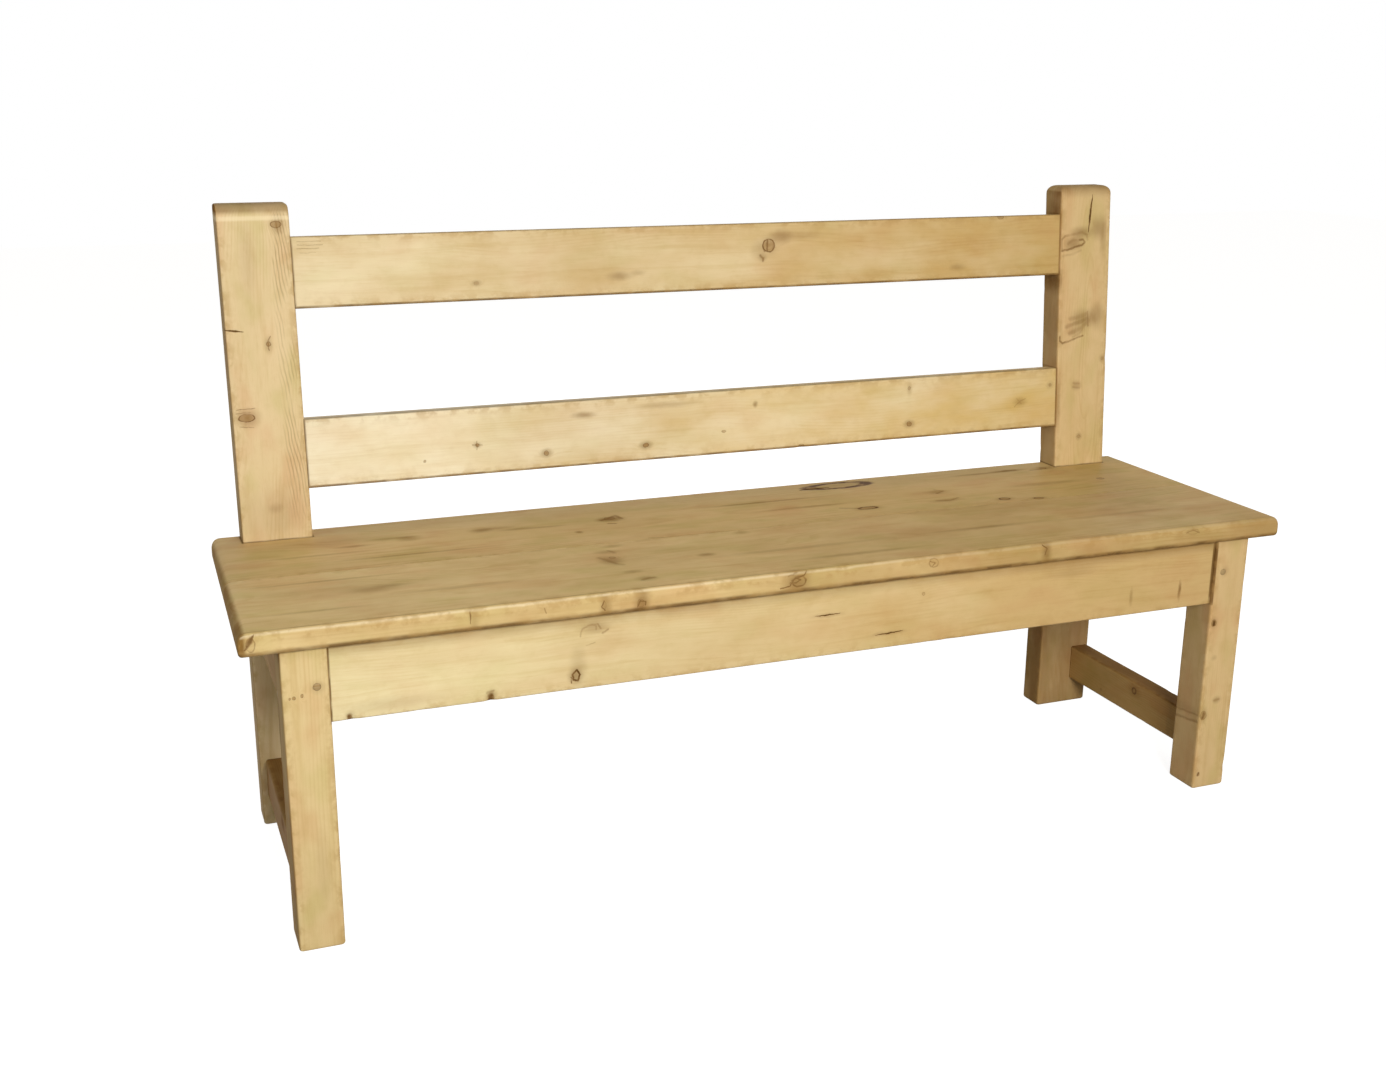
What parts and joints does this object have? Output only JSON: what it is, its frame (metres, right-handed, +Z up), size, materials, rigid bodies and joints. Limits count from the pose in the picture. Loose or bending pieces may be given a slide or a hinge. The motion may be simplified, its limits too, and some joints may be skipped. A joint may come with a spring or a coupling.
{
  "type": "bench",
  "caption": "Plain solid pine country bench with a plank seat on square legs, end stretchers and an open, slightly leaning back of two flat rails.",
  "frame": {"origin": "on the floor, under the middle of the bench's whole length and depth", "axes": "+X along the bench to the sitter's left-hand end as seen from the front right, +Y from the front edge of the seat towards the back, +Z up"},
  "size_m": [1.566, 0.4864, 0.927],
  "materials": {
    "posts": "waxed pine",
    "legs": "waxed pine",
    "back_rails": "waxed pine",
    "aprons": "waxed pine",
    "stretchers": "waxed pine",
    "seat": "waxed pine, worn by use",
    "underframe": "bare sawn pine",
    "pegs": "darker hardwood end grain",
    "screws": "dull steel"
  },
  "bodies": {
    "root": {"rear_post_left": "posts", "rear_post_right": "posts", "front_leg_left": "legs", "front_leg_right": "legs", "top_back_rail": "back_rails", "lower_back_rail": "back_rails", "front_apron": "aprons", "rear_apron": "aprons", "side_apron_left": "aprons", "side_apron_right": "aprons", "stretcher_left": "stretchers", "stretcher_right": "stretchers", "seat_board_front": "seat", "seat_board_rear": "seat", "cross_bearer_left": "underframe", "cross_bearer_right": "underframe", "corner_block_front_left": "underframe", "corner_block_front_right": "underframe", "corner_block_rear_left": "underframe", "corner_block_rear_right": "underframe", "apron_pegs": "pegs", "side_apron_pegs": "pegs", "stretcher_pegs": "pegs", "back_rail_pegs": "pegs", "seat_screws": "screws", "block_screws": "screws"}
  },
  "joints": []
}
